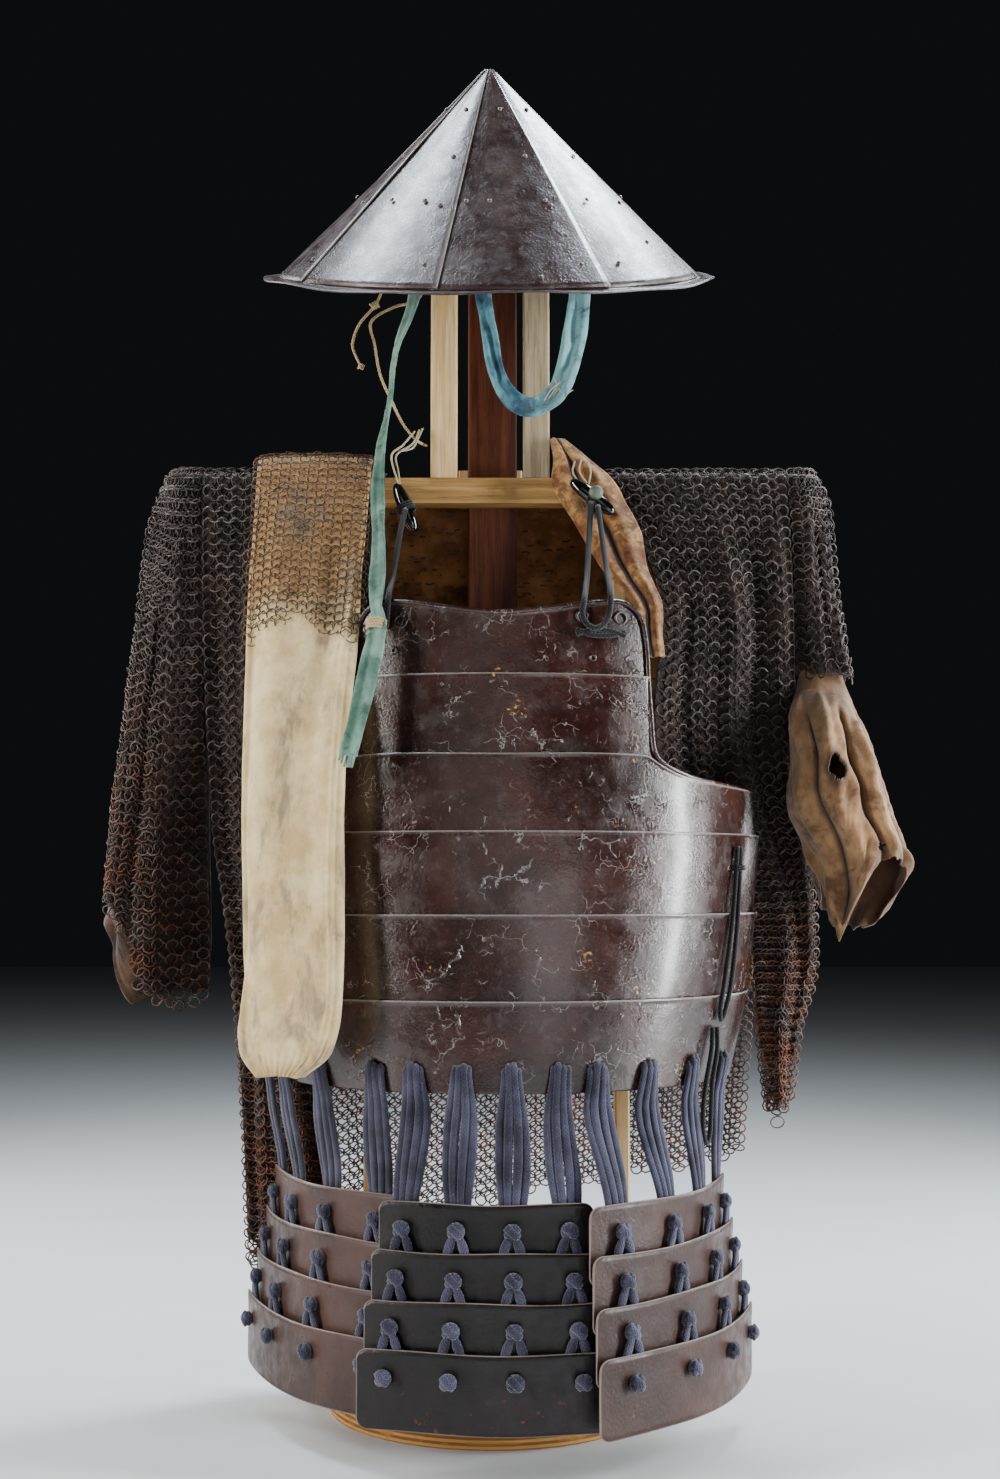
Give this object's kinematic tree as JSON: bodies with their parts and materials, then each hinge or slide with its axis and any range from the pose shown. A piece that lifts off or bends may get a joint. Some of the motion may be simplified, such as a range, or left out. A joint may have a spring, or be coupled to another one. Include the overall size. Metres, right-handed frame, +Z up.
{
  "type": "foot soldier's armour set on a wooden stand",
  "caption": "Foot soldier's armour on a wooden stand: conical iron hat, plate cuirass, laced skirt panels, mail jacket with torn cuff, and a cotton sock.",
  "frame": {"origin": "middle of the base disc's underside", "axes": "+Z up, +X to the viewer's right, and the armour faces -Y"},
  "size_m": [0.7062, 0.448, 1.175],
  "materials": {
    "pine": "sanded, dry",
    "old_pine": "sanded, aged",
    "redwood": "planed, reddish",
    "plywood": "sanded",
    "hat_lacquer": "worn brown lacquer on iron",
    "cuirass_lacquer": "crackled dark lacquer on iron",
    "skirt_lacquer": "dull brown lacquer on iron",
    "indigo_braid": "flat braid, faded",
    "mail": "small rings linked on brown cloth",
    "tan_cloth": "worn plain weave",
    "brown_cloth": "worn plain weave",
    "cream_cotton": "stained cotton",
    "blue_cloth": "folded cloth strap",
    "green_cloth": "folded cloth strap",
    "black_horn": "polished",
    "black_cord": "round braid",
    "tan_twine": "twisted twine"
  },
  "bodies": {
    "root": {"upright_left": "pine", "upright_right": "pine", "waist_rail": "pine", "head_post_left": "pine", "head_post_right": "pine", "head_batten": "pine", "base_disc": "plywood", "yoke_beam": "old_pine", "centre_post": "redwood", "hat": "hat_lacquer", "cuirass_plate_1": "cuirass_lacquer", "cuirass_plate_2": "cuirass_lacquer", "cuirass_plate_3": "cuirass_lacquer", "cuirass_plate_4": "cuirass_lacquer", "cuirass_plate_5": "cuirass_lacquer", "cuirass_plate_6": "cuirass_lacquer", "lame_left_1": "skirt_lacquer", "lace_left_1": "indigo_braid", "lame_left_2": "skirt_lacquer", "lace_left_2": "indigo_braid", "lame_left_3": "skirt_lacquer", "lace_left_3": "indigo_braid", "lame_left_4": "skirt_lacquer", "lace_left_4": "indigo_braid", "lame_centre_1": "skirt_lacquer", "lace_centre_1": "indigo_braid", "lame_centre_2": "skirt_lacquer", "lace_centre_2": "indigo_braid", "lame_centre_3": "skirt_lacquer", "lace_centre_3": "indigo_braid", "lame_centre_4": "skirt_lacquer", "lace_centre_4": "indigo_braid", "lame_right_1": "skirt_lacquer", "lace_right_1": "indigo_braid", "lame_right_2": "skirt_lacquer", "lace_right_2": "indigo_braid", "lame_right_3": "skirt_lacquer", "lace_right_3": "indigo_braid", "lame_right_4": "skirt_lacquer", "lace_right_4": "indigo_braid", "jacket_back": "mail", "jacket_front_left": "mail", "jacket_front_right": "mail", "jacket_sleeve_left": "mail", "jacket_sleeve_right": "mail", "cuff_left": "brown_cloth", "cuff_right": "tan_cloth", "collar_right": "tan_cloth", "sock": "cream_cotton", "chin_strap": "blue_cloth", "long_strap": "green_cloth", "hat_strap_end": "blue_cloth", "toggle_left": "black_horn", "toggle_right": "black_horn", "toggle_cord_left": "black_cord", "toggle_cord_right": "black_cord", "side_cord_high": "black_cord", "side_cord_low": "black_cord", "twine_free": "tan_twine", "twine_held": "tan_twine"}
  },
  "joints": []
}
